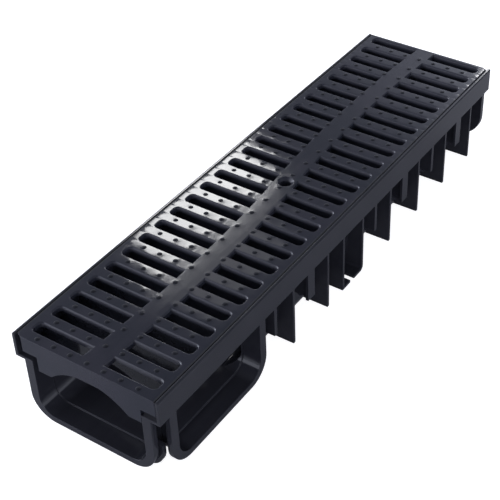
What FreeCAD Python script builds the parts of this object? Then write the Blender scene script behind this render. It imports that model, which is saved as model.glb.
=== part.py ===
import FreeCAD, Part
import Sketcher
import math
import os

# Linear drainage channel, 0.5 m, with a side outlet near one end and a slotted grating laid in its rim.
# Frame: X along the channel, Z up, origin on the ground under the middle of the channel.
# The outlet opens towards -Y and stands nearest the -X end.

SIZES = {
    # overall
    "channel_length": 500,
    "channel_width": 130,
    "channel_height": 76,
    # rim that frames the grating
    "rim_wall": 2.5,
    "rim_height": 21.5,
    "rim_round": 1,
    "seat_depth": 19.5,
    # trough
    "bore_width": 95.5,
    "bore_floor": 7.5,
    "bore_round": 12,
    "trough_wall": 3,
    "floor_wall": 3.5,
    # sockets and collars at the two ends
    "socket_width": 98,
    "socket_length": 16,
    "socket_floor": 6,
    "socket_round": 14,
    "collar_width": 113,
    "collar_thickness": 5,
    "collar_round": 20,
    "collar_foot": 0.8,
    "far_collar_width": 122.5,
    "far_collar_round": 23,
    # side outlet
    "outlet_start": 17.5,
    "outlet_width": 100,
    "outlet_step": 1.25,
    "outlet_collar_wall": 7.5,
    "outlet_collar_depth": 4.5,
    # small foot in the corner between the near collar and the outlet's collar
    "corner_foot_wall": 3.5,
    "corner_foot_gap": 1.5,
    "corner_foot_inset": 6,
    "corner_foot_round": 18,
    "corner_foot_height": 24,
    "corner_foot_slope": 7,
    # plates across the outside of the trough
    "fin_start": 163.4,
    "fin_pitch": 50,
    "fin_wall": 2.5,
    "near_foot_start": 236,
    "near_foot_reach": 12.2,
    "far_foot_start": 268.7,
    "far_foot_reach": 14.6,
    "foot_bend": 4.5,
    # short ribs that hang from the rim between the plates
    "rib_foot_level": 28,
    "slim_rib_wall": 3.5,
    "broad_rib_width": 9.5,
    "broad_rib_wall": 2.5,
    # grating
    "side_gap": 0.75,
    "end_gap": 0.5,
    "plate_wall": 4.5,
    "skirt_depth": 14.5,
    "skirt_wall": 2.5,
    "bar_rib_wall": 3,
    "bar_rib_inset": 0.5,
    "bar_arch_width": 48,
    "bar_arch_rise": 6,
    "slot_count": 25,
    "slot_pitch": 19.84,
    "slot_shift": 2.8,
    "slot_width": 9.8,
    "slot_row_width": 110.4,
    "slot_round": 3.2,
    "slot_bevel": 0.9,
    "spine_width": 19,
    "wave_height": 6.8,
    "wave_length": 520,
    "keel_wall": 3,
    "keel_depth": 8,
    "lock_shift": 2,
    "lock_bore": 9,
    "lock_bevel": 2.3,
    "lock_boss": 16,
    "lock_boss_depth": 12,
    # plate that closes each end of the grating
    "apron_wall": 3,
    "apron_depth": 27.5,
    "apron_narrow_inset": 20.5,
    "apron_wide_gap": 0.75,
    "apron_shoulder": 11.5,
    "arch_rise": 14,
    "notch_width": 4.3,
    "notch_length": 2.2,
    "notch_hollow": 6,
    "notch_lip": 2,
}

doc = FreeCAD.newDocument("channel_drain")
sheet = doc.addObject("Spreadsheet::Sheet", "sizes")
for row, (name, number) in enumerate(SIZES.items(), start=1):
    sheet.set("A%d" % row, name)
    sheet.set("B%d" % row, str(number))
    sheet.setAlias("B%d" % row, name)
doc.recompute()


class Size:
    # a number together with the spreadsheet formula that it comes from
    def __init__(self, value, formula):
        self.value = float(value)
        self.formula = formula

    def __add__(self, other):
        other = as_size(other)
        return Size(self.value + other.value, "(%s + %s)" % (self.formula, other.formula))

    def __sub__(self, other):
        other = as_size(other)
        return Size(self.value - other.value, "(%s - %s)" % (self.formula, other.formula))

    def __mul__(self, other):
        other = as_size(other)
        return Size(self.value * other.value, "(%s * %s)" % (self.formula, other.formula))

    def __truediv__(self, other):
        other = as_size(other)
        return Size(self.value / other.value, "(%s / %s)" % (self.formula, other.formula))

    def __neg__(self):
        return Size(-self.value, "(-1 * %s)" % self.formula)


def as_size(amount):
    if isinstance(amount, Size):
        return amount
    return Size(amount, repr(float(amount)))


def size(name):
    return Size(sheet.get(name), "sizes." + name)


def root(amount):
    return Size(math.sqrt(amount.value), "sqrt(%s)" % amount.formula)


def bind(thing, path, amount):
    thing.setExpression(path, as_size(amount).formula)


def origin_item(body, role):
    return next(item for item in body.Origin.OriginFeatures if item.Role == role)


def new_sketch(body, name, plane, offset):
    sketch = body.newObject("Sketcher::SketchObject", name)
    sketch.AttachmentSupport = (origin_item(body, plane), [""])
    sketch.MapMode = "FlatFace"
    bind(sketch, "AttachmentOffset.Base.z", offset)
    return sketch


def tie(sketch, kind, *where, amount):
    index = sketch.addConstraint(Sketcher.Constraint(kind, *where, as_size(amount).value))
    bind(sketch, "Constraints[%d]" % index, amount)


def tie_point(sketch, part, spot, place):
    tie(sketch, "DistanceX", -1, 1, part, spot, amount=place[0])
    tie(sketch, "DistanceY", -1, 1, part, spot, amount=place[1])


def vector(pair):
    return FreeCAD.Vector(pair[0], pair[1], 0)


# A closed outline through corners given anticlockwise as (x, y), (x, y, corner radius) or
# (x, y, None, radius of the hollow arc that replaces the straight line to the next corner).
def outline(sketch, corners):
    total = len(corners)
    rounds = [corner[2] if len(corner) > 2 else None for corner in corners]
    bows = [corner[3] if len(corner) > 3 else None for corner in corners]
    spots = [vector((as_size(corner[0]).value, as_size(corner[1]).value)) for corner in corners]
    starts = list(spots)
    ends = [spots[(index + 1) % total] for index in range(total)]
    for index, radius in enumerate(rounds):
        if radius is not None:
            before = (spots[index - 1] - spots[index]).normalize()
            after = (spots[(index + 1) % total] - spots[index]).normalize()
            setback = as_size(radius).value / math.tan(before.getAngle(after) / 2)
            starts[index] = spots[index] + after * setback
            ends[index - 1] = spots[index] + before * setback
    edges = []
    for index in range(total):
        if bows[index] is None:
            edges.append((sketch.addGeometry(Part.LineSegment(starts[index], ends[index])), 1, 2))
        else:
            edges.append((add_hollow(sketch, starts[index], ends[index], bows[index]), 2, 1))
    for index in range(total):
        edge, first, last = edges[index]
        previous, previous_first, previous_last = edges[index - 1]
        if rounds[index] is None:
            sketch.addConstraint(Sketcher.Constraint("Coincident", previous, previous_last, edge, first))
            tie_point(sketch, edge, first, corners[index])
        else:
            add_round(sketch, previous, edge, ends[index - 1], starts[index], corners[index])
    for index in range(total):
        if bows[index] is not None:
            tie(sketch, "Radius", edges[index][0], amount=bows[index])


def arc_between(sketch, center, start, end):
    first = math.atan2(start.y - center.y, start.x - center.x)
    last = math.atan2(end.y - center.y, end.x - center.x)
    if last < first:
        last += 2 * math.pi
    circle = Part.Circle(center, FreeCAD.Vector(0, 0, 1), (start - center).Length)
    return sketch.addGeometry(Part.ArcOfCircle(circle, first, last))


def add_hollow(sketch, start, end, radius):
    along = end - start
    reach = math.sqrt(as_size(radius).value ** 2 - (along.Length / 2) ** 2)
    outward = FreeCAD.Vector(along.y, -along.x, 0).normalize()
    center = (start + end) / 2 + outward * reach
    return arc_between(sketch, center, end, start)


def add_round(sketch, line_in, line_out, tangent_in, tangent_out, corner):
    spot = vector((as_size(corner[0]).value, as_size(corner[1]).value))
    radius = as_size(corner[2]).value
    middle = ((tangent_in + tangent_out) / 2 - spot).normalize()
    half_turn = (tangent_in - spot).getAngle(tangent_out - spot) / 2
    center = spot + middle * (radius / math.sin(half_turn))
    turn = (spot - tangent_in).cross(tangent_out - spot).z
    if turn > 0:
        arc = arc_between(sketch, center, tangent_in, tangent_out)
        first, last = 1, 2
    else:
        arc = arc_between(sketch, center, tangent_out, tangent_in)
        first, last = 2, 1
    sketch.addConstraint(Sketcher.Constraint("Tangent", line_in, 2, arc, first))
    sketch.addConstraint(Sketcher.Constraint("Tangent", arc, last, line_out, 1))
    point = sketch.addGeometry(Part.Point(spot), True)
    sketch.addConstraint(Sketcher.Constraint("PointOnObject", point, 1, line_in))
    sketch.addConstraint(Sketcher.Constraint("PointOnObject", point, 1, line_out))
    tie_point(sketch, point, 1, corner)
    tie(sketch, "Radius", arc, amount=corner[2])


def circle(sketch, x, y, diameter):
    center = vector((as_size(x).value, as_size(y).value))
    ring = Part.Circle(center, FreeCAD.Vector(0, 0, 1), as_size(diameter).value / 2)
    part = sketch.addGeometry(ring)
    tie_point(sketch, part, 3, (x, y))
    tie(sketch, "Diameter", part, amount=diameter)


def rectangle(left, bottom, right, top):
    return [(left, bottom), (right, bottom), (right, top), (left, top)]


def u_shape(left, right, bottom, top, radius):
    return [(left, bottom, radius), (right, bottom, radius), (right, top), (left, top)]


# one or more outlines pushed or cut through depth, which runs along the plane's normal
def prism(body, kind, name, plane, offset, outlines, depth):
    sketch = new_sketch(body, name + "_outline", plane, offset)
    for corners in outlines:
        outline(sketch, corners)
    return finish_prism(body, kind, name, sketch, depth)


def round_prism(body, kind, name, offset, x, y, diameter, depth):
    sketch = new_sketch(body, name + "_outline", "XY_Plane", offset)
    circle(sketch, x, y, diameter)
    return finish_prism(body, kind, name, sketch, depth)


def finish_prism(body, kind, name, sketch, depth):
    feature = body.newObject("PartDesign::" + kind, name)
    feature.Profile = sketch
    bind(feature, "Length", depth)
    feature.Reversed = kind == "Pocket"
    return feature


def row(body, name, originals, pitch, count):
    pattern = body.newObject("PartDesign::LinearPattern", name)
    pattern.Originals = originals
    pattern.Direction = (origin_item(body, "X_Axis"), [""])
    pattern.Mode = "Spacing"
    bind(pattern, "Offset", pitch)
    bind(pattern, "Occurrences", count)
    body.Tip = pattern


def turn_ends(body, name, originals):
    pattern = body.newObject("PartDesign::PolarPattern", name)
    pattern.Originals = originals
    pattern.Axis = (origin_item(body, "Z_Axis"), [""])
    pattern.Angle = 360
    pattern.Occurrences = 2
    body.Tip = pattern


# rounds or bevels the edges that the test picks
def dress(body, kind, name, amount, wanted):
    doc.recompute()
    base = body.Tip
    names = ["Edge%d" % number for number, edge in enumerate(base.Shape.Edges, start=1) if wanted(edge)]
    feature = body.newObject("PartDesign::" + kind, name)
    feature.Base = (base, names)
    bind(feature, "Radius" if kind == "Fillet" else "Size", amount)
    body.Tip = feature


def edge_box(edge):
    box = edge.BoundBox
    return box.XMin, box.XMax, box.YMin, box.YMax, box.ZMin, box.ZMax


def near(first, second):
    return abs(first - as_size(second).value) < 0.001


half_length = size("channel_length") / 2
half_width = size("channel_width") / 2
top = size("channel_height")
rim_foot = top - size("rim_height")
seat = top - size("seat_depth")
seat_half = half_width - size("rim_wall")
half_bore = size("bore_width") / 2
bore_floor = size("bore_floor")
trough_half = half_bore + size("trough_wall")
trough_foot = bore_floor - size("floor_wall")
trough_round = size("bore_round") + size("trough_wall")
collar_foot = size("collar_foot")
near_end = -half_length
far_end = half_length
outlet_left = near_end + size("outlet_start")
outlet_right = outlet_left + size("outlet_width")
passage_left = outlet_left + size("outlet_step")
passage_right = outlet_right - size("outlet_step")
fin_pitch = size("fin_pitch")
fin_wall = size("fin_wall")
# which stations along the channel carry what; the foot plates stand beside the middle
FULL_FINS = (0, 1, 3, 4, 5, 6)
OUTLET_FINS = (-2, -1)
SLIM_RIBS = (-0.5, 2.5, 4.5)
OUTLET_RIBS = (-2.5, -1.5)
BROAD_RIBS = (0.5, 3.5, 5.5)
# cuts run this far past the face that they open, so that no skin is left
over = 1


def across(body, kind, name, start, outlines, depth):
    return prism(body, kind, name, "YZ_Plane", start, outlines, depth)


# the normal of this plane points to -Y, so a face at y = -d lies at start = d
def sideways(body, kind, name, start, outlines, depth):
    return prism(body, kind, name, "XZ_Plane", start, outlines, depth)


def flat(body, kind, name, start, outlines, depth):
    return prism(body, kind, name, "XY_Plane", start, outlines, depth)


def add_trough(body):
    corners = u_shape(-trough_half, trough_half, trough_foot, seat, trough_round)
    across(body, "Pad", "trough", near_end, [corners], size("channel_length"))
    corners = rectangle(-half_width, rim_foot, half_width, top)
    across(body, "Pad", "rim", near_end, [corners], size("channel_length"))


def add_collars(body):
    thickness = size("collar_thickness")
    half = size("collar_width") / 2
    corners = u_shape(-half, half, collar_foot, seat, size("collar_round"))
    across(body, "Pad", "near_collar", near_end, [corners], thickness)
    half = size("far_collar_width") / 2
    corners = u_shape(-half, half, collar_foot, seat, size("far_collar_round"))
    across(body, "Pad", "far_collar", far_end - thickness, [corners], thickness)


def add_outlet(body):
    wall = size("trough_wall")
    corners = u_shape(passage_left - wall, passage_right + wall, trough_foot, seat, trough_round)
    start = trough_half - trough_round
    sideways(body, "Pad", "outlet", start, [corners], half_width - start)
    wall = size("outlet_collar_wall")
    corners = u_shape(outlet_left - wall, outlet_right + wall, collar_foot, seat, size("collar_round"))
    depth = size("outlet_collar_depth")
    sideways(body, "Pad", "outlet_collar", half_width - depth, [corners], depth)


def add_corner_foot(body):
    outer = size("corner_foot_inset") - half_width
    rounded = size("corner_foot_round")
    inner = outer + rounded + over
    shoulder = collar_foot + size("corner_foot_height")
    corners = [(outer, collar_foot, rounded), (inner, collar_foot),
               (inner, shoulder + size("corner_foot_slope")), (outer, shoulder)]
    start = near_end + size("collar_thickness") + size("corner_foot_gap")
    across(body, "Pad", "corner_foot", start, [corners], size("corner_foot_wall"))


# middle of a fin, or with a half number the middle of the bay after it; the near ones are below zero
def station(number):
    return near_end + size("fin_start") + fin_pitch * number


# plan of a plate across the channel
def plate_plan(number, wall, left=None):
    start = station(number) - wall / 2
    return rectangle(start, -half_width if left is None else left, start + wall, half_width)


def add_fins(body):
    plans = [plate_plan(number, fin_wall) for number in FULL_FINS]
    # beside the outlet the fins stop short of its collar
    stop = size("outlet_collar_depth") - half_width
    plans += [plate_plan(number, fin_wall, stop) for number in OUTLET_FINS]
    flat(body, "Pad", "fins", 0, plans, seat)


# A pair of plates beside the middle, each with a foot that points at the other.
# The near plate turns squarely into its foot, and the far one in a bend.
def add_foot_plates(body):
    outer = near_end + size("near_foot_start")
    inner = outer + fin_wall
    toe = outer + size("near_foot_reach")
    corners = [(outer, 0), (toe, 0), (toe, fin_wall), (inner, fin_wall), (inner, seat), (outer, seat)]
    sideways(body, "Pad", "near_foot_plate", -half_width, [corners], size("channel_width"))
    outer = near_end + size("far_foot_start")
    inner = outer - fin_wall
    toe = outer - size("far_foot_reach")
    bend = size("foot_bend")
    corners = [(toe, 0), (outer, 0, bend), (outer, seat), (inner, seat),
               (inner, fin_wall, bend - fin_wall), (toe, fin_wall)]
    sideways(body, "Pad", "far_foot_plate", -half_width, [corners], size("channel_width"))


# plan of a rib whose two outer edges widen into a flat cap
def capped_plan(number):
    middle = station(number)
    web = size("broad_rib_wall") / 2
    cap = size("broad_rib_width") / 2
    neck = half_width - size("broad_rib_wall")
    return [(middle - cap, -half_width), (middle + cap, -half_width), (middle + cap, -neck),
            (middle + web, -neck), (middle + web, neck), (middle + cap, neck),
            (middle + cap, half_width), (middle - cap, half_width),
            (middle - cap, neck), (middle - web, neck), (middle - web, -neck), (middle - cap, -neck)]


def add_short_ribs(body):
    slim = size("slim_rib_wall")
    foot = size("rib_foot_level")
    plans = [plate_plan(number, slim) for number in SLIM_RIBS]
    plans += [plate_plan(number, slim, 0) for number in OUTLET_RIBS]
    plans += [capped_plan(number) for number in BROAD_RIBS]
    flat(body, "Pad", "short_ribs", foot, plans, seat - foot)


def hollow_out(body):
    length = size("channel_length")
    corners = rectangle(-seat_half, seat, seat_half, top + over)
    across(body, "Pocket", "grating_seat", near_end - over, [corners], length + over * 2)
    corners = u_shape(-half_bore, half_bore, bore_floor, seat + over, size("bore_round"))
    across(body, "Pocket", "bore", near_end - over, [corners], length + over * 2)
    half = size("socket_width") / 2
    depth = size("socket_length")
    corners = u_shape(-half, half, size("socket_floor"), seat + over, size("socket_round"))
    across(body, "Pocket", "near_socket", near_end - over, [corners], depth + over)
    across(body, "Pocket", "far_socket", far_end - depth, [corners], depth + over)
    corners = u_shape(outlet_left, outlet_right, size("socket_floor"), rim_foot, size("socket_round"))
    sideways(body, "Pocket", "outlet_socket", half_width - depth, [corners], depth + over)
    corners = u_shape(passage_left, passage_right, bore_floor, rim_foot, size("bore_round"))
    start = half_bore - size("bore_round")
    sideways(body, "Pocket", "outlet_passage", start, [corners], half_width - start)


def outer_rim_edge(edge):
    x_min, x_max, y_min, y_max, z_min, z_max = edge_box(edge)
    level = near(z_min, top) and near(z_max, top)
    return level and near(y_min, y_max) and near(abs(y_min), half_width) and x_max - x_min > 1


def build_channel():
    body = doc.addObject("PartDesign::Body", "channel_body")
    body.Label = "channel_body"
    add_trough(body)
    add_collars(body)
    add_outlet(body)
    add_corner_foot(body)
    add_fins(body)
    add_foot_plates(body)
    add_short_ribs(body)
    hollow_out(body)
    dress(body, "Fillet", "rim_round", size("rim_round"), outer_rim_edge)
    return body


grating_half_length = half_length - size("end_gap")
grating_half_width = seat_half - size("side_gap")
plate_foot = top - size("plate_wall")
skirt_foot = top - size("skirt_depth")
slot_pitch = size("slot_pitch")
slot_half = size("slot_width") / 2
slot_shift = size("slot_shift")
slot_reach = size("slot_row_width") / 2
slot_count = size("slot_count")


def add_plate(body):
    outer = rectangle(-grating_half_length, -grating_half_width, grating_half_length, grating_half_width)
    flat(body, "Pad", "grating_block", skirt_foot, [outer], size("skirt_depth"))
    inner_length = grating_half_length - size("apron_wall")
    inner_width = grating_half_width - size("skirt_wall")
    inner = rectangle(-inner_length, -inner_width, inner_length, inner_width)
    flat(body, "Pocket", "underside", skirt_foot - over, [inner], plate_foot - skirt_foot + over)


# one rib under each bar stands on the seat and arches over the bore
def add_bar_ribs(body):
    wall = size("bar_rib_wall")
    half = grating_half_width - size("bar_rib_inset")
    spring = size("bar_arch_width") / 2
    rise = size("bar_arch_rise")
    radius = (spring * spring + rise * rise) / (rise * 2)
    corners = [(-half, seat), (-spring, seat, None, radius), (spring, seat), (half, seat),
               (half, plate_foot + over), (-half, plate_foot + over)]
    start = slot_shift - (slot_pitch * (slot_count - 2) + wall) / 2
    rib = across(body, "Pad", "bar_rib", start, [corners], wall)
    row(body, "bar_ribs", [rib], slot_pitch, slot_count - 1)


def add_slots(body):
    half = slot_half
    rounded = size("slot_round")
    corners = [(-half, -slot_reach, rounded), (half, -slot_reach, rounded),
               (half, slot_reach, rounded), (-half, slot_reach, rounded)]
    first = slot_shift - slot_pitch * (slot_count - 1) / 2
    corners = [(x + first, y, r) for x, y, r in corners]
    slot = flat(body, "Pocket", "slot", plate_foot - over, [corners], size("plate_wall") + over * 2)
    row(body, "slots", [slot], slot_pitch, slot_count)


# The middle line of the spine is two arcs that meet smoothly at the middle of the grating.
# The spine fills the slots along it, and a keel hangs under it; both end inside the end plates.
def add_spine(body):
    quarter = size("wave_length") / 4
    rise = size("wave_height")
    radius = (quarter * quarter + rise * rise) / (rise * 2)
    reach = grating_half_length - size("apron_wall") / 2
    start_y = radius - rise - root(radius * radius - (reach - quarter) * (reach - quarter))
    path = new_sketch(body, "spine_path", "XY_Plane", plate_foot)
    for side in (-1, 1):
        hub = (quarter * side, (rise - radius) * side)
        tip = vector(((reach * side).value, (start_y * -side).value))
        arc = arc_between(path, vector((hub[0].value, hub[1].value)), tip, vector((0, 0)))
        path.addConstraint(Sketcher.Constraint("Coincident", arc, 2, -1, 1))
        tie_point(path, arc, 3, hub)
        tie(path, "DistanceX", -1, 1, arc, 1, amount=reach * side)
    profile = new_sketch(body, "spine_profile", "YZ_Plane", -reach)
    half = size("spine_width") / 2
    keel = size("keel_wall") / 2
    keel_foot = plate_foot - size("keel_depth")
    outline(profile, [(start_y - keel, keel_foot), (start_y + keel, keel_foot), (start_y + keel, plate_foot),
                      (start_y + half, plate_foot), (start_y + half, top), (start_y - half, top),
                      (start_y - half, plate_foot), (start_y - keel, plate_foot)])
    spine = body.newObject("PartDesign::AdditivePipe", "spine")
    spine.Profile = profile
    spine.Spine = (path, ["Edge1", "Edge2"])
    spine.Mode = "Fixed"
    body.Tip = spine


# end plate with an arch over the water; the one at the far end is the same plate turned half round
def add_aprons(body):
    foot = top - size("apron_depth")
    wide = size("apron_wide_gap") - size("socket_width") / 2
    narrow = half_width - size("apron_narrow_inset")
    shoulder = size("apron_shoulder")
    spring = (narrow - wide) / 2 - shoulder
    rise = size("arch_rise")
    radius = (spring * spring + rise * rise) / (rise * 2)
    notch_edge = grating_half_width - size("notch_width")
    corners = [(wide, foot), (wide + shoulder, foot, None, radius), (narrow - shoulder, foot), (narrow, foot),
               (narrow, skirt_foot), (notch_edge, skirt_foot), (notch_edge, top),
               (-grating_half_width, top), (-grating_half_width, skirt_foot), (wide, skirt_foot)]
    face = -grating_half_length
    apron = across(body, "Pad", "apron", face, [corners], size("apron_wall"))
    # one corner of the grating is cut off, more deeply under its lip
    outside = grating_half_width + over
    notch_end = face + size("notch_length")
    corners = [(face - over, notch_edge), (face, notch_edge), (notch_end, grating_half_width),
               (notch_end, outside), (face - over, outside)]
    notch = flat(body, "Pocket", "notch", skirt_foot - over, [corners], size("skirt_depth") + over * 2)
    corners = rectangle(face - over, notch_edge, face + size("notch_hollow"), outside)
    depth = size("skirt_depth") - size("notch_lip") + over
    hollow = flat(body, "Pocket", "notch_hollow", skirt_foot - over, [corners], depth)
    turn_ends(body, "aprons", [apron, notch, hollow])


def slot_rim_edge(edge):
    x_min, x_max, y_min, y_max, z_min, z_max = edge_box(edge)
    level = near(z_min, top) and near(z_max, top)
    reach = (slot_reach + over).value
    end = (slot_shift + slot_pitch * (slot_count - 1) / 2 + slot_half + over).value
    return level and max(-y_min, y_max) < reach and max(-x_min, x_max) < end


def lock_rim_edge(edge):
    x_min, x_max, y_min, y_max, z_min, z_max = edge_box(edge)
    level = near(z_min, top) and near(z_max, top)
    return level and near(x_max - x_min, size("lock_bore")) and near(y_max - y_min, size("lock_bore"))


def add_lock(body):
    depth = size("lock_boss_depth")
    boss_foot = plate_foot - depth
    middle = size("lock_shift")
    round_prism(body, "Pad", "lock_boss", boss_foot, middle, 0, size("lock_boss"), depth)
    through = top - boss_foot + over * 2
    round_prism(body, "Pocket", "lock_hole", boss_foot - over, middle, 0, size("lock_bore"), through)
    dress(body, "Chamfer", "lock_bevel", size("lock_bevel"), lock_rim_edge)


def build_grating():
    body = doc.addObject("PartDesign::Body", "grating")
    body.Label = "grating"
    add_plate(body)
    add_bar_ribs(body)
    add_aprons(body)
    add_slots(body)
    add_spine(body)
    dress(body, "Chamfer", "slot_bevels", size("slot_bevel"), slot_rim_edge)
    add_lock(body)
    return body


sub_parts = [build_channel(), build_grating()]
doc.recompute()
for item in doc.Objects:
    if "Invalid" in item.State or "Error" in item.State:
        raise RuntimeError("failed: " + item.Label)
for part in sub_parts:
    if part.Shape.isNull() or not part.Shape.isValid():
        raise RuntimeError("bad shape: " + part.Label)
os.makedirs("parts", exist_ok=True)
for part in sub_parts:
    part.Shape.exportStep("parts/%s.step" % part.Label)
    box = part.Shape.BoundBox
    print(part.Label, "solids", len(part.Shape.Solids), "volume", round(part.Shape.Volume / 1000, 1), "cm3",
          [round(v, 2) for v in (box.XMin, box.XMax, box.YMin, box.YMax, box.ZMin, box.ZMax)])
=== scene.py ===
import math
import bpy
import bmesh
import numpy as np
from mathutils import Matrix, Vector


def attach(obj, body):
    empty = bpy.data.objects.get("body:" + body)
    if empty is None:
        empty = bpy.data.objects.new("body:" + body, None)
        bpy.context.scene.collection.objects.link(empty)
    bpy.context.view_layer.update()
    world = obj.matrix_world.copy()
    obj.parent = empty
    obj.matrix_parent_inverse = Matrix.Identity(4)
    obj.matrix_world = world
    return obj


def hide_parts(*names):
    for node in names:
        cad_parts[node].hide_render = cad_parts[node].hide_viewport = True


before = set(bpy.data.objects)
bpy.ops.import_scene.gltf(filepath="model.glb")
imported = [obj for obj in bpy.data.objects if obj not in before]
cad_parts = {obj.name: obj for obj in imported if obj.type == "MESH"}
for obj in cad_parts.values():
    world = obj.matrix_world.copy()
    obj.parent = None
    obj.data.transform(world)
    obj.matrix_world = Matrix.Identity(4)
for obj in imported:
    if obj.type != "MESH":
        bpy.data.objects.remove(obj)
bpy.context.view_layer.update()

scene = bpy.context.scene
scene.view_settings.view_transform = "Standard"
millimetres = 1000  # in a metre
plainWhite = (1, 1, 1, 1)
print("frame loaded:", sorted(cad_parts))


# A socket of a node tree. Arithmetic on it adds Math nodes, so formulas read as plain Python.
class Signal:
    def __init__(self, tree, socket):
        self.tree = tree
        self.socket = socket

    def math(self, operation, first, second=None):
        values = {0: first} if second is None else {0: first, 1: second}
        return self.tree.add("ShaderNodeMath", {"operation": operation}, values)

    def __add__(self, other):
        return self.math("ADD", self, other)

    def __radd__(self, other):
        return self.math("ADD", other, self)

    def __sub__(self, other):
        return self.math("SUBTRACT", self, other)

    def __rsub__(self, other):
        return self.math("SUBTRACT", other, self)

    def __mul__(self, other):
        return self.math("MULTIPLY", self, other)

    def __rmul__(self, other):
        return self.math("MULTIPLY", other, self)

    def __truediv__(self, other):
        return self.math("DIVIDE", self, other)

    def __pow__(self, other):
        return self.math("POWER", self, other)

    def __rpow__(self, other):
        return self.math("POWER", other, self)

    def __abs__(self):
        return self.math("ABSOLUTE", self)

    # 0 below low, 1 above high, an S curve between
    def smooth(self, low, high):
        values = {"Value": self, "From Min": low, "From Max": high}
        return self.tree.add("ShaderNodeMapRange", {"interpolation_type": "SMOOTHSTEP"}, values)

    # the same pattern again every period, from -period / 2 to period / 2
    def repeat(self, period):
        values = {0: self, 1: period / 2, 2: -period / 2}
        return self.tree.add("ShaderNodeMath", {"operation": "WRAP"}, values)


# The node tree of a material or a world, emptied first.
class Tree:
    def __init__(self, owner):
        owner.use_nodes = True
        self.nodes = owner.node_tree.nodes
        self.links = owner.node_tree.links
        self.nodes.clear()

    # any node: its type, its settings, the values or links of its inputs, and which output is wanted
    def add(self, kind, settings=None, values=None, output=0):
        node = self.nodes.new(kind)
        for name, value in (settings or {}).items():
            setattr(node, name, value)
        for name, value in (values or {}).items():
            socket = node.inputs[name]
            if isinstance(value, Signal):
                self.links.new(value.socket, socket)
            else:
                socket.default_value = value
        return Signal(self, node.outputs[output]) if node.outputs else None

    def noise(self, place, scale, detail, rough):
        values = {"Vector": place, "Scale": scale, "Detail": detail, "Roughness": rough}
        return self.add("ShaderNodeTexNoise", {}, values)

    # a mix of two colours: inputs 0, 6 and 7 are its factor and the colours, and output 2 is the mixed colour
    def blend(self, factor, first, second):
        values = {0: factor, 6: first, 7: second}
        return self.add("ShaderNodeMix", {"data_type": "RGBA"}, values, 2)

    # one part of a vector: X, Y or Z
    def axis(self, vector, letter):
        return self.add("ShaderNodeSeparateXYZ", {}, {"Vector": vector}, letter)

    # 1 where two directions are the same, 0 where they are at a right angle
    def agreement(self, first, second):
        settings = {"operation": "DOT_PRODUCT"}
        return self.add("ShaderNodeVectorMath", settings, {0: first, 1: second}, "Value")


# A noise is given as its scale, detail and roughness, and a name that ends in Curve holds the two places
# between which an S curve rises. Depths are in mm, and the edge's radius is in metres.
gratingLook = {
    "darkColor": (0.0145, 0.0165, 0.0225),
    "lightColor": (0.0225, 0.0222, 0.03),
    "dustColor": (0.07, 0.07, 0.076),
    "wearColor": (0.075, 0.075, 0.082),
    # The wall colour is painted light on the slots' walls that face the near end.
    "litWallColor": (0.055, 0.055, 0.064),
    # The seam colour is painted shade in the gap between grating and rim.
    "seamShadeColor": (0.004, 0.004, 0.005),
    "dust": 0.4,
    "wear": 0.15,
    "seamShade": 0.8,
    "roughness": 0.085,
    "roughSpread": 0.04,
    "dustRough": 0.15,
    "wearRough": 0.12,
    "seamRough": 0.7,
    "specular": 0.3,
    "refraction": 1.49,
    "drift": (22, 3, 0.5),
    "flow": (1.6, 4, 0.6),
    "flowStretch": (9, 70, 70),
    "speckle": (1500, 2, 0.5),
    "scuffs": (160, 3, 0.65),
    "grain": (1300, 2, 0.55),
    "grainDepth": 0.003,
    "flowDepth": 0.003,
    "driftShare": 0.55,
    "flowShare": 0.45,
    "toneCurve": (0.3, 0.7),
    "speckleCurve": (0.66, 0.8),
    "patchCurve": (0.45, 0.7),
    "scuffCurve": (0.38, 0.62),
    "edgeCurve": (0.01, 0.22),
    "edgeRadius": 0.0006,
    "edgeSamples": 4,
}
channelLook = dict(gratingLook, **{
    "darkColor": (0.016, 0.0162, 0.0205),
    "lightColor": (0.022, 0.0222, 0.027),
    "roughness": 0.11,
    "roughSpread": 0.06,
    "grain": (1000, 2, 0.55),
    "grainDepth": 0.012,
    "edgeRadius": 0.0007,
})
# The dots are the grating's plastic, made rougher and less glossy. Their darker colours are painted shade, so
# that they read as dark discs.
shadedDotLook = dict(gratingLook, **{
    "darkColor": (0.008, 0.0085, 0.0115),
    "lightColor": (0.011, 0.0115, 0.015),
    "roughness": 0.55,
    "specular": 0.1,
})
# lengths in mm
seamPlace = {"line": 61.6, "sideCurve": (0.75, 1.25), "heightCurve": (74, 75)}


# Painted shade along the gap of the joint between grating and rim, on the top only, in a dull dark colour:
# shade = (1 - S curve of the distance from |y| = line) * (S curve of the height).
def paintedSeamShade(tree, place):
    along = tree.axis(place, "Y") * millimetres
    height = tree.axis(place, "Z") * millimetres
    beside = abs(abs(along) - seamPlace["line"]).smooth(*seamPlace["sideCurve"])
    return (1 - beside) * height.smooth(*seamPlace["heightCurve"])
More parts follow.
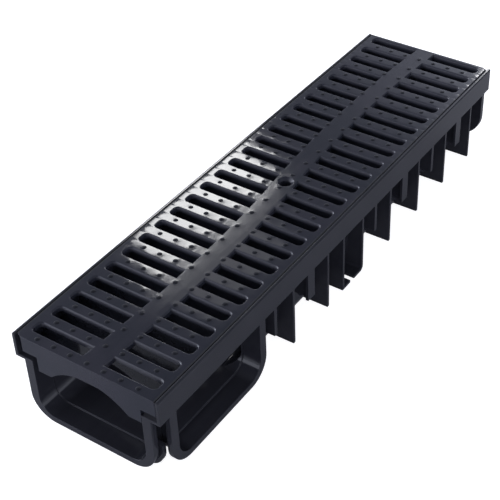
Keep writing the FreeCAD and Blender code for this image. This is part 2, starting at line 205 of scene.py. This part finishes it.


# Moulded plastic. Its colour runs from dark to light with driftShare * drift + flowShare * flow. Over that
# lie dust in patches, scuffs on the edges, painted light on the walls that face the near end, and painted
# shade in the joint's gap. An edge is found where the rounded normal leaves the true one. With drift, flow,
# grain, dust, edge
# and seam shade from 0 to 1: rough = roughness + roughSpread * (flow - 0.5) + dustRough * dust + wearRough *
# edge
# + seamRough * seam shade, height in mm = grainDepth * grain + flowDepth * flow + relief.
def mouldedPlastic(name, look, relief=None, paintedLight=None):
    material = bpy.data.materials.new(name)
    tree = Tree(material)
    place = tree.add("ShaderNodeTexCoord", output="Object")
    stretched = tree.add("ShaderNodeMapping", {}, {"Vector": place, "Scale": look["flowStretch"]})
    drift = tree.noise(place, *look["drift"])
    flow = tree.noise(stretched, *look["flow"])
    speckle = tree.noise(place, *look["speckle"])
    scuffs = tree.noise(place, *look["scuffs"])
    grain = tree.noise(place, *look["grain"])
    soften = tree.add("ShaderNodeBevel", {"samples": look["edgeSamples"]}, {"Radius": look["edgeRadius"]})
    trueNormal = tree.add("ShaderNodeNewGeometry", output="Normal")
    turned = 1 - tree.agreement(soften, trueNormal)
    edge = turned.smooth(*look["edgeCurve"]) * scuffs.smooth(*look["scuffCurve"])
    dust = speckle.smooth(*look["speckleCurve"]) * drift.smooth(*look["patchCurve"])
    seamShadeMask = paintedSeamShade(tree, place)
    tone = drift * look["driftShare"] + flow * look["flowShare"]
    color = tree.blend(tone.smooth(*look["toneCurve"]), (*look["darkColor"], 1), (*look["lightColor"], 1))
    color = tree.blend(dust * look["dust"], color, (*look["dustColor"], 1))
    color = tree.blend(edge * look["wear"], color, (*look["wearColor"], 1))
    # painted light: the slots' walls that face the near end are paler towards the top
    if paintedLight:
        color = tree.blend(paintedLight(tree, place, trueNormal), color, (*look["litWallColor"], 1))
    # painted shade: dark along the gap between grating and rim
    color = tree.blend(seamShadeMask * look["seamShade"], color, (*look["seamShadeColor"], 1))
    rough = look["roughness"] + (flow - 0.5) * look["roughSpread"] + dust * look["dustRough"]
    rough = rough + edge * look["wearRough"] + seamShadeMask * look["seamRough"]
    height = grain * look["grainDepth"] + flow * look["flowDepth"]
    if relief:
        height = height + relief(tree, place)
    bump = tree.add("ShaderNodeBump", {}, {
        "Strength": 1.0, "Distance": 1 / millimetres, "Height": height, "Normal": soften})
    shader = tree.add("ShaderNodeBsdfPrincipled", {}, {
        "Base Color": color, "Roughness": rough, "Normal": bump,
        "Specular IOR Level": look["specular"], "IOR": look["refraction"]})
    tree.add("ShaderNodeOutputMaterial", {}, {"Surface": shader})
    return material


# lengths in metres
dots = {
    "rowSpacing": 0.015,
    "rowCount": 7,
    "barPitch": 0.01984,
    "barCount": 24,
    "shift": 0.0028,
    "nearColumn": -0.2453,
    "radius": 0.0021,
    "rise": 0.0007,
    "domePower": 0.75,
    "footDepth": 0.0004,
    "rings": (0.3, 0.6, 0.83, 1.0),
    "around": 12,
    "topLevel": 0.076,
    "lockPlace": 0.002,
    "lockClear": 0.009,
}
# lengths in mm
barRelief = {
    "moundHeight": 0.05,
    "moundWidth": 3.4,
    "crownDepth": 0.012,
    "crownPower": 6,
    "barHalf": 4.1,
    "slotFade": 2,
    "rollStart": 54,
    "rollSlots": 4,
    "rollRate": 0.0016,
    "spineCurve": (9, 12),
    "spineNoise": (900, 2, 0.5),
    "spineGrain": 0.03,
}
# in mm, for the painted light on the slots' walls, but facingCurve is about the part of the normal that
# points to the near end
wallLightPlace = {"facingCurve": (0.6, 0.95), "heightCurve": (71.5, 75), "endCurve": (246, 247)}


# Height of the grating's top in mm, with x and y in mm from the middle of a bar and of a row of dots:
# moundHeight * exp(-(x^2 + y^2) / moundWidth^2) - crownDepth * (x / barHalf)^crownPower - rollRate * e^2,
# where e is how far the place lies past the start of the roll at the grating's long sides, which is rollSlots
# further out over a slot. The spine has no crown, and a coarser grain of its own, spineGrain * noise.
def gratingRelief(tree, place):
    across = tree.axis(place, "X") * millimetres
    along = tree.axis(place, "Y") * millimetres
    pitch = dots["barPitch"] * millimetres
    middle = dots["shift"] * millimetres + pitch / 2
    fromBar = abs((across - middle).repeat(pitch))
    fromRow = along.repeat(dots["rowSpacing"] * millimetres)
    away = (fromBar * fromBar + fromRow * fromRow) / barRelief["moundWidth"] ** 2
    mound = away.math("EXPONENT", away * -1) * barRelief["moundHeight"]
    edgeward = away.math("MINIMUM", fromBar / barRelief["barHalf"], 1)
    crown = edgeward ** barRelief["crownPower"] * barRelief["crownDepth"]
    overSlot = fromBar.smooth(barRelief["barHalf"], barRelief["barHalf"] + barRelief["slotFade"])
    past = abs(along) - (barRelief["rollStart"] + overSlot * barRelief["rollSlots"])
    outside = away.math("MAXIMUM", past, 0)
    sides = abs(along).smooth(*barRelief["spineCurve"])
    grain = tree.noise(place, *barRelief["spineNoise"]) * (1 - sides) * barRelief["spineGrain"]
    return mound + grain - crown * sides - outside * outside * barRelief["rollRate"]


# Painted light on the slots' walls that face the near end, paler towards the top where the light reaches:
# light = (facing -x) * (not the end plates) * (height), each an S curve from 0 to 1.
def paintedWallLight(tree, place, normal):
    across = tree.axis(place, "X") * millimetres
    height = tree.axis(place, "Z") * millimetres
    facing = (tree.axis(normal, "X") * -1).smooth(*wallLightPlace["facingCurve"])
    inside = 1 - abs(across).smooth(*wallLightPlace["endCurve"])
    return facing * inside * height.smooth(*wallLightPlace["heightCurve"])


gratingPlastic = mouldedPlastic("gratingPlastic", gratingLook, gratingRelief, paintedWallLight)
channelPlastic = mouldedPlastic("channelPlastic", channelLook)
shadedDotPlastic = mouldedPlastic("shadedDotPlastic", shadedDotLook)


# A new object in the scene that holds a mesh, a lamp or a camera.
def newObject(name, data):
    holder = bpy.data.objects.new(name, data)
    scene.collection.objects.link(holder)
    return holder


# Moves an object to spot and turns its own x, y and z axes to the three directions.
def setPlace(holder, spot, axes):
    holder.matrix_world = Matrix.Translation(spot) @ Matrix(axes).transposed().to_4x4()


# in metres and radians
cutGrating = {
    "weld": 0.00001,
    "flatAngle": 0.008,
    "sharpAngle": 0.55,
    "edgeRound": 0.00028,
    "segments": 2,
    "flatWeight": 90,
}
cutChannel = dict(cutGrating, edgeRound=0.00045)


# A welded copy of a CAD node, with its flat faces joined and its sharp edges rounded off.
def softenedCopy(nodeName, pieceName, cut, material):
    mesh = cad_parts[nodeName].data.copy()
    mesh.name = pieceName
    shell = bmesh.new()
    shell.from_mesh(mesh)
    bmesh.ops.remove_doubles(shell, verts=shell.verts, dist=cut["weld"])
    bmesh.ops.dissolve_limit(shell, angle_limit=cut["flatAngle"], verts=shell.verts, edges=shell.edges)
    shell.to_mesh(mesh)
    shell.free()
    piece = newObject(pieceName, mesh)
    mesh.materials.clear()
    mesh.materials.append(material)
    mesh.shade_smooth()
    mesh.set_sharp_from_angle(angle=cut["sharpAngle"])
    rounder = piece.modifiers.new("roundedEdges", "BEVEL")
    rounder.width = cut["edgeRound"]
    rounder.segments = cut["segments"]
    rounder.limit_method = "ANGLE"
    rounder.angle_limit = cut["sharpAngle"]
    rounder.use_clamp_overlap = True
    flat = piece.modifiers.new("flatShading", "WEIGHTED_NORMAL")
    flat.mode = "FACE_AREA"
    flat.weight = cut["flatWeight"]
    flat.keep_sharp = True
    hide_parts(nodeName)
    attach(piece, "root")
    return piece


grating = softenedCopy("grating", "gratingMoulding", cutGrating, gratingPlastic)
channel = softenedCopy("channel_body", "channelMoulding", cutChannel, channelPlastic)
print("mouldings rounded")


# Places in a row, an even spacing apart, with the middle of the row at 0.
def evenRow(count, spacing):
    return (np.arange(count) - (count - 1) / 2) * spacing


# Every dot is the same dome: r = radius * v, height = rise * (1 - v^2)^domePower, turned through u; v = 1 is
# its rim, which goes on down by footDepth into the bar so that the dome closes under the surface.
def gripDots(values):
    columns = evenRow(values["barCount"], values["barPitch"]) + values["shift"]
    columns = np.concatenate([[values["nearColumn"]], columns])
    rows = evenRow(values["rowCount"], values["rowSpacing"])
    centerX, centerY = [grid.ravel() for grid in np.meshgrid(columns, rows, indexing="ij")]
    keep = np.hypot(centerX - values["lockPlace"], centerY) > values["lockClear"]
    count = np.count_nonzero(keep)
    centers = np.column_stack([centerX[keep], centerY[keep], np.full(count, values["topLevel"])])
    around, rings = values["around"], np.array(values["rings"])
    turn = np.arange(around) * 2 * math.pi / around
    ringX = np.outer(rings, np.cos(turn)) * values["radius"]
    ringY = np.outer(rings, np.sin(turn)) * values["radius"]
    ringZ = np.repeat(values["rise"] * (1 - rings ** 2) ** values["domePower"], around)
    dome = np.stack([ringX.ravel(), ringY.ravel(), ringZ], axis=1)
    down = np.array([0, 0, -values["footDepth"]])
    dome = np.vstack([[0, 0, values["rise"]], dome, dome[-around:] + down, down])
    last = len(dome) - 1
    step = np.arange(around)
    beside = (step + 1) % around
    ringStart = 1 + np.arange(len(rings))[:, None] * around
    inner, innerBeside = (ringStart + step).ravel(), (ringStart + beside).ravel()
    quads = np.stack([inner, inner + around, innerBeside + around, innerBeside], axis=1)
    cap = np.stack([np.zeros(around, int), 1 + step, 1 + beside], axis=1)
    base = 1 + len(rings) * around
    foot = np.stack([np.full(around, last), base + beside, base + step], axis=1)
    points = dome[None] + centers[:, None]
    offset = np.arange(count)[:, None, None] * len(dome)
    allQuads = (quads[None] + offset).reshape(-1, 4)
    allTriangles = (np.vstack([cap, foot])[None] + offset).reshape(-1, 3)
    mesh = bpy.data.meshes.new("gripDots")
    mesh.from_pydata(points.reshape(-1, 3), [], allQuads.tolist() + allTriangles.tolist())
    mesh.shade_smooth()
    piece = newObject("gripDots", mesh)
    mesh.materials.append(shadedDotPlastic)
    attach(piece, "root")


gripDots(dots)
print("grip dots made")


# Lengths are in metres. A glow is given by the azimuth and height of its middle and its half width, all in
# degrees, and by its strength.
studio = {
    "floorSize": 6.0,
    "floorParts": 2,
    "floorDrop": 0.0002,
    "floorColor": (0.5, 0.5, 0.505),
    "mottleColor": (0.53, 0.53, 0.535),
    "mottle": (3, 2, 0.5),
    "floorGlow": 0.88,
    "worldLight": 0.17,
    "worldColor": (0.9, 0.94, 1.1, 1),
    "glows": [
        (80, 6, 22, 4.6),
        (130, 6, 22, 6.2),
        (222, 14, 18, 3.8),
        (277, 8, 20, 3.2),
        (10, 25, 8, 9),
        (26, 9, 11, 2),
    ],
}


# A matte paint that a slow noise mottles from one colour to the other, with a glow for the camera alone: it
# makes the floor white in the picture and throws no light on the part.
def floorPaint(values):
    material = bpy.data.materials.new("floorPaint")
    tree = Tree(material)
    place = tree.add("ShaderNodeTexCoord", output="Object")
    mottle = tree.noise(place, *values["mottle"])
    paint = tree.blend(mottle, (*values["floorColor"], 1), (*values["mottleColor"], 1))
    matte = tree.add("ShaderNodeBsdfDiffuse", {}, {"Color": paint})
    seen = tree.add("ShaderNodeLightPath", output="Is Camera Ray")
    glow = tree.add("ShaderNodeEmission", {}, {"Color": plainWhite, "Strength": seen * values["floorGlow"]})
    both = tree.add("ShaderNodeAddShader", {}, {0: matte, 1: glow})
    tree.add("ShaderNodeOutputMaterial", {}, {"Surface": both})
    return material


# The floor is flat: height = -floorDrop over a square of side floorSize, cut into floorParts faces each way.
def paleFloor(values):
    parts = values["floorParts"]
    side = np.linspace(-values["floorSize"] / 2, values["floorSize"] / 2, parts + 1)
    gridX, gridY = np.meshgrid(side, side, indexing="ij")
    points = np.stack([gridX.ravel(), gridY.ravel(), np.full(gridX.size, -values["floorDrop"])], axis=1)
    corner = (np.arange(parts)[:, None] * (parts + 1) + np.arange(parts)[None]).ravel()
    faces = np.stack([corner, corner + parts + 1, corner + parts + 2, corner + 1], axis=1)
    mesh = bpy.data.meshes.new("paleFloor")
    mesh.from_pydata(points, [], faces.tolist())
    floor = newObject("paleFloor", mesh)
    mesh.materials.append(floorPaint(values))


# Light from each direction d: worldLight + the sum over the glows of
# strength * 2^(-(1 - d . g) / (1 - cos halfWidth)), where g is the way to the middle of the glow.
# The camera itself sees plain white.
def softWorld(values):
    world = bpy.data.worlds.new("studioWorld")
    scene.world = world
    tree = Tree(world)
    direction = tree.add("ShaderNodeTexCoord", output="Generated")
    level = values["worldLight"]
    for azimuth, height, halfWidth, strength in values["glows"]:
        azimuth, height = math.radians(azimuth), math.radians(height)
        flat = math.cos(height)
        middle = (flat * math.cos(azimuth), flat * math.sin(azimuth), math.sin(height))
        fall = (tree.agreement(direction, middle) - 1) / (1 - math.cos(math.radians(halfWidth)))
        level = level + 2 ** fall * strength
    seen = tree.add("ShaderNodeLightPath", output="Is Camera Ray")
    light = tree.add("ShaderNodeBackground", {}, {"Color": values["worldColor"], "Strength": level})
    white = tree.add("ShaderNodeBackground", {}, {"Color": plainWhite, "Strength": 1.0})
    both = tree.add("ShaderNodeMixShader", {}, {0: seen, 1: light, 2: white})
    tree.add("ShaderNodeOutputWorld", {}, {"Surface": both})


# The lamps stand beyond the part, as the camera sees it, and are placed by their mirror images in the flat
# top. These lie on the bars behind the spine (mirrorLamp), on the spine (innerHalo), on the bars before it
# (outerHalo) and just past the rim's nearer corner at the far end (cornerLamp). Lengths are in metres.
lamps = [
    {
        "name": "mirrorLamp",
        "spot": (0.9, 0.8252, 1.0),
        "aim": (0.7339, 1.439, 0.2282),
        "along": (0.7675, -0.4109, -0.492),
        "size": (0.306, 0.407),
        "power": 7.3,
    },
    {
        "name": "innerHalo",
        "spot": (0.735, 0.625, 0.908),
        "aim": (0.735, 0.625, 0),
        "along": (1, 0, 0),
        "size": (0.38, 0.055),
        "power": 0.04,
    },
    {
        "name": "outerHalo",
        "spot": (0.6731, 0.5668, 0.908),
        "aim": (0.6731, 0.5668, 0),
        "along": (1, 0, 0),
        "size": (0.254, 0.0725),
        "power": 0.075,
    },
    {
        "name": "cornerLamp",
        "spot": (1.6, 0.41, 0.908),
        "aim": (1.6, 0.41, 0),
        "along": (1, 0, 0),
        "size": (0.18, 0.157),
        "power": 2.4,
    },
]


# A rectangular lamp at spot that faces aim, with its first side along the given direction.
def softBox(values):
    lamp = bpy.data.lights.new(values["name"], "AREA")
    lamp.shape = "RECTANGLE"
    lamp.size, lamp.size_y = values["size"]
    lamp.energy = values["power"]
    holder = newObject(values["name"], lamp)
    spot, aim, along = Vector(values["spot"]), Vector(values["aim"]), Vector(values["along"])
    back = (spot - aim).normalized()
    side = (along - back * along.dot(back)).normalized()
    setPlace(holder, spot, (side, back.cross(side), back))


for lampValues in lamps:
    softBox(lampValues)
paleFloor(studio)
softWorld(studio)
print("studio set")

# Spot and clip are in metres, lens and sensor in mm, and right and up are the camera's own directions.
view = {
    "spot": (-0.66659, -0.45154, 0.66367),
    "right": (0.54114766, -0.84083591, -0.01241732),
    "up": (0.51203035, 0.31774876, 0.79803549),
    "lens": 88.017,
    "sensorWidth": 36,
    "shift": (-0.0969, -0.0957),
    "clip": (0.01, 50),
}


def photoCamera(values):
    camera = bpy.data.cameras.new("photoCamera")
    camera.lens = values["lens"]
    camera.sensor_width = values["sensorWidth"]
    camera.sensor_fit = "HORIZONTAL"
    camera.shift_x, camera.shift_y = values["shift"]
    camera.clip_start, camera.clip_end = values["clip"]
    holder = newObject("photoCamera", camera)
    right, up = Vector(values["right"]), Vector(values["up"])
    setPlace(holder, values["spot"], (right, up, right.cross(up)))
    scene.camera = holder


photoCamera(view)
print("camera placed")
